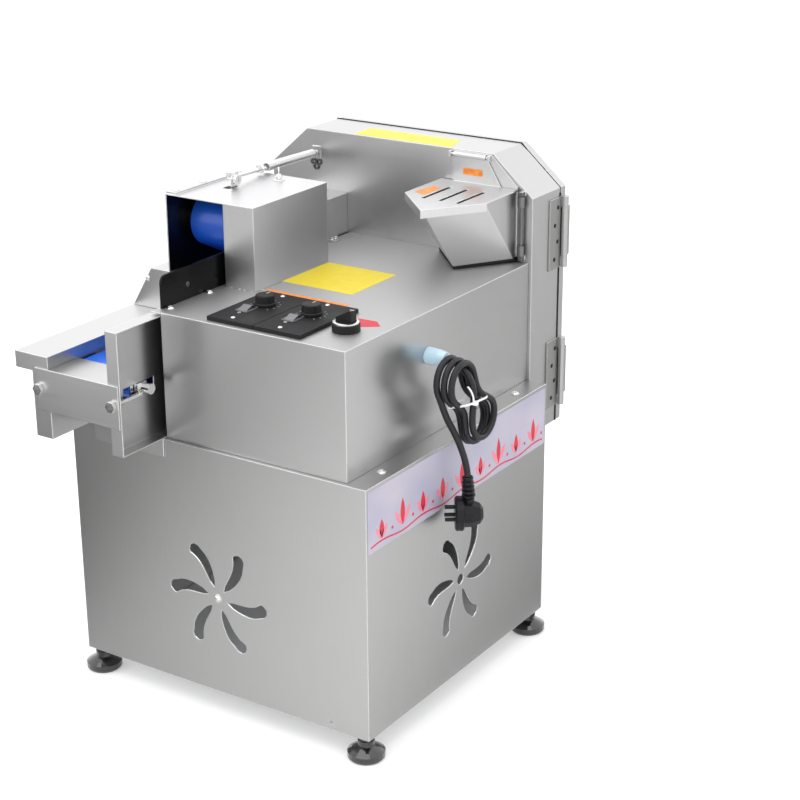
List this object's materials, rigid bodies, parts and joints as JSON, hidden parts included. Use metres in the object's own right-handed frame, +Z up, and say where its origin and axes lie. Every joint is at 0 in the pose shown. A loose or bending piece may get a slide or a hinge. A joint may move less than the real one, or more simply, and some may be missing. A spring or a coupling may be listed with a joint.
{
  "type": "vegetable cutting machine",
  "caption": "Bench-top vegetable cutter with a belt infeed, sprung press belt, rotating cutter head behind a hinged rear door, angled feed hopper and a vented cabinet.",
  "frame": {"origin": "centre of the machine's footprint rectangle, on the floor under the feet", "axes": "+Z up; +Y from the loading end at the front to the cutter head at the rear; +X to the operator's right, where the cord hangs"},
  "size_m": [0.5399, 0.6498, 0.685],
  "materials": {
    "stainless_sheet": "brushed stainless sheet",
    "polished_steel": "bright steel",
    "zinc_plate": "galvanised sheet",
    "cutter_cast": "machined steel",
    "grey_iron": "grey enamel",
    "motor_paint": "blue-grey enamel",
    "spring_steel": "plated spring wire",
    "rocker_silver": "plated metal",
    "black_plastic": "moulded",
    "gloss_black": "machined plate, smooth",
    "blue_belt": "belt coating",
    "rubber": "matt",
    "cord_black": "cable jacket",
    "gland_plastic": "pale blue moulding"
  },
  "bodies": {
    "machine": {"base_cabinet": "stainless_sheet", "motor_plate": "zinc_plate", "drive_housing": "stainless_sheet", "head_casing": "stainless_sheet", "door_gasket": "rubber", "hinge_upper_casing_leaf": "polished_steel", "hinge_lower_casing_leaf": "polished_steel", "bearing_housing": "grey_iron", "v_belt": "rubber", "cutter_motor": "motor_paint", "left_guard": "stainless_sheet", "right_guard": "stainless_sheet", "conveyor_front_plate": "stainless_sheet", "conveyor_bed": "stainless_sheet", "conveyor_belt": "blue_belt", "tension_bolt_left": "polished_steel", "tension_bolt_right": "polished_steel", "conveyor_gearmotor": "grey_iron", "side_plate_right": "gloss_black", "side_plate_left": "gloss_black", "side_cover": "stainless_sheet", "roller_cover": "stainless_sheet", "feed_duct": "stainless_sheet", "tension_spring": "spring_steel", "control_panel_left": "black_plastic", "control_panel_right": "black_plastic", "selector_collar": "black_plastic", "cable_gland": "gland_plastic", "cord_lead": "cord_black", "cord_hank": "cord_black", "cord_tail": "cord_black", "cord_plug": "cord_black"},
    "rear_door": {"rear_door": "stainless_sheet", "hinge_upper_door_leaf": "polished_steel", "hinge_lower_door_leaf": "polished_steel"},
    "feed_hopper": {"feed_hopper": "stainless_sheet"},
    "hopper_lid": {"hopper_lid": "stainless_sheet"},
    "cutter": {"cutter_wheel": "cutter_cast", "cutter_shaft": "cutter_cast", "cutter_blade_1": "polished_steel", "cutter_blade_2": "polished_steel"},
    "motor_pulley": {"motor_pulley": "cutter_cast"},
    "take_up": {"take_up_axle": "polished_steel"},
    "tail_roller": {"tail_roller": "polished_steel"},
    "drive_roller": {"drive_roller": "polished_steel"},
    "press_roller_front": {"press_roller_front": "polished_steel"},
    "press_arm": {"press_arm": "stainless_sheet", "press_belt": "blue_belt"},
    "press_roller_rear": {"press_roller_rear": "polished_steel"},
    "speed_knob_left": {"speed_knob_left": "black_plastic"},
    "speed_knob_right": {"speed_knob_right": "black_plastic"},
    "rocker_left": {"rocker_left": "rocker_silver"},
    "rocker_right": {"rocker_right": "rocker_silver"},
    "selector_knob": {"selector_knob": "black_plastic"},
    "foot_front_left": {"foot_front_left": "black_plastic"},
    "foot_front_right": {"foot_front_right": "black_plastic"},
    "foot_rear_left": {"foot_rear_left": "black_plastic"},
    "foot_rear_right": {"foot_rear_right": "black_plastic"}
  },
  "joints": [
    {"name": "rear_door_hinge", "type": "hinge", "parent": "machine", "child": "rear_door", "pos_m": [0.2215, 0.2798, 0.488], "axis": [0, 0, -1], "range_deg": [0, 160]},
    {"name": "feed_hopper_hinge", "type": "hinge", "parent": "machine", "child": "feed_hopper", "pos_m": [0.202, 0.194, 0.59], "axis": [0, 0, 1], "range_deg": [0, 100]},
    {"name": "hopper_lid_hinge", "type": "hinge", "parent": "feed_hopper", "child": "hopper_lid", "pos_m": [0.1415, 0.1935, 0.6795], "axis": [-1, 0, 0], "range_deg": [0, 70]},
    {"name": "cutter_spin", "type": "hinge", "parent": "machine", "child": "cutter", "pos_m": [0.00025, 0.206, 0.488], "axis": [0, 1, 0], "continuous": true},
    {"name": "motor_pulley_spin", "type": "hinge", "parent": "machine", "child": "motor_pulley", "pos_m": [0.00025, -0.0355, 0.13], "axis": [0, 1, 0], "continuous": true},
    {"name": "take_up_slide", "type": "slide", "parent": "machine", "child": "take_up", "axis": [0, 1, 0], "range_m": [0, 0.012]},
    {"name": "tail_roller_spin", "type": "hinge", "parent": "take_up", "child": "tail_roller", "pos_m": [-0.1375, -0.2585, 0.448], "axis": [1, 0, 0], "continuous": true},
    {"name": "drive_roller_spin", "type": "hinge", "parent": "machine", "child": "drive_roller", "pos_m": [-0.1375, 0.1645, 0.448], "axis": [1, 0, 0], "continuous": true},
    {"name": "press_roller_front_spin", "type": "hinge", "parent": "machine", "child": "press_roller_front", "pos_m": [-0.122, -0.0355, 0.607], "axis": [1, 0, 0], "continuous": true},
    {"name": "press_arm_pivot", "type": "hinge", "parent": "machine", "child": "press_arm", "pos_m": [-0.122, -0.0355, 0.607], "axis": [1, 0, 0], "range_deg": [0, 7], "stiffness_Nm_per_rad": 4, "springref_deg": -22.92, "deforming": ["tension_spring"]},
    {"name": "press_roller_rear_spin", "type": "hinge", "parent": "press_arm", "child": "press_roller_rear", "pos_m": [-0.122, 0.1645, 0.488], "axis": [1, 0, 0], "continuous": true},
    {"name": "speed_knob_left_turn", "type": "hinge", "parent": "machine", "child": "speed_knob_left", "pos_m": [0.0335, -0.153, 0.5473], "axis": [0, 0, -1], "range_deg": [0, 300]},
    {"name": "rocker_left_tilt", "type": "hinge", "parent": "machine", "child": "rocker_left", "pos_m": [0.0245, -0.179, 0.5473], "axis": [1, 0, 0], "range_deg": [-20, 0]},
    {"name": "speed_knob_right_turn", "type": "hinge", "parent": "machine", "child": "speed_knob_right", "pos_m": [0.105, -0.153, 0.5473], "axis": [0, 0, -1], "range_deg": [0, 300]},
    {"name": "rocker_right_tilt", "type": "hinge", "parent": "machine", "child": "rocker_right", "pos_m": [0.096, -0.179, 0.5473], "axis": [1, 0, 0], "range_deg": [-20, 0]},
    {"name": "selector_turn", "type": "hinge", "parent": "machine", "child": "selector_knob", "pos_m": [0.1675, -0.1685, 0.552], "axis": [0, 0, -1], "range_deg": [0, 90]},
    {"name": "foot_front_left_screw", "type": "hinge", "parent": "machine", "child": "foot_front_left", "pos_m": [-0.2115, -0.2265, 0.02], "axis": [0, 0, 1], "continuous": true},
    {"name": "foot_rear_left_screw", "type": "hinge", "parent": "machine", "child": "foot_rear_left", "pos_m": [-0.2115, 0.1852, 0.02], "axis": [0, 0, 1], "continuous": true},
    {"name": "foot_front_right_screw", "type": "hinge", "parent": "machine", "child": "foot_front_right", "pos_m": [0.2285, -0.2265, 0.02], "axis": [0, 0, 1], "continuous": true},
    {"name": "foot_rear_right_screw", "type": "hinge", "parent": "machine", "child": "foot_rear_right", "pos_m": [0.2285, 0.1852, 0.02], "axis": [0, 0, 1], "continuous": true}
  ],
  "couplings": [
    {"joint": "motor_pulley_spin", "follows": "cutter_spin", "ratio": 1.7605},
    {"joint": "tail_roller_spin", "follows": "press_roller_front_spin", "ratio": -2.0118},
    {"joint": "drive_roller_spin", "follows": "press_roller_front_spin", "ratio": -2.0118},
    {"joint": "press_roller_rear_spin", "follows": "press_roller_front_spin", "ratio": 2}
  ]
}
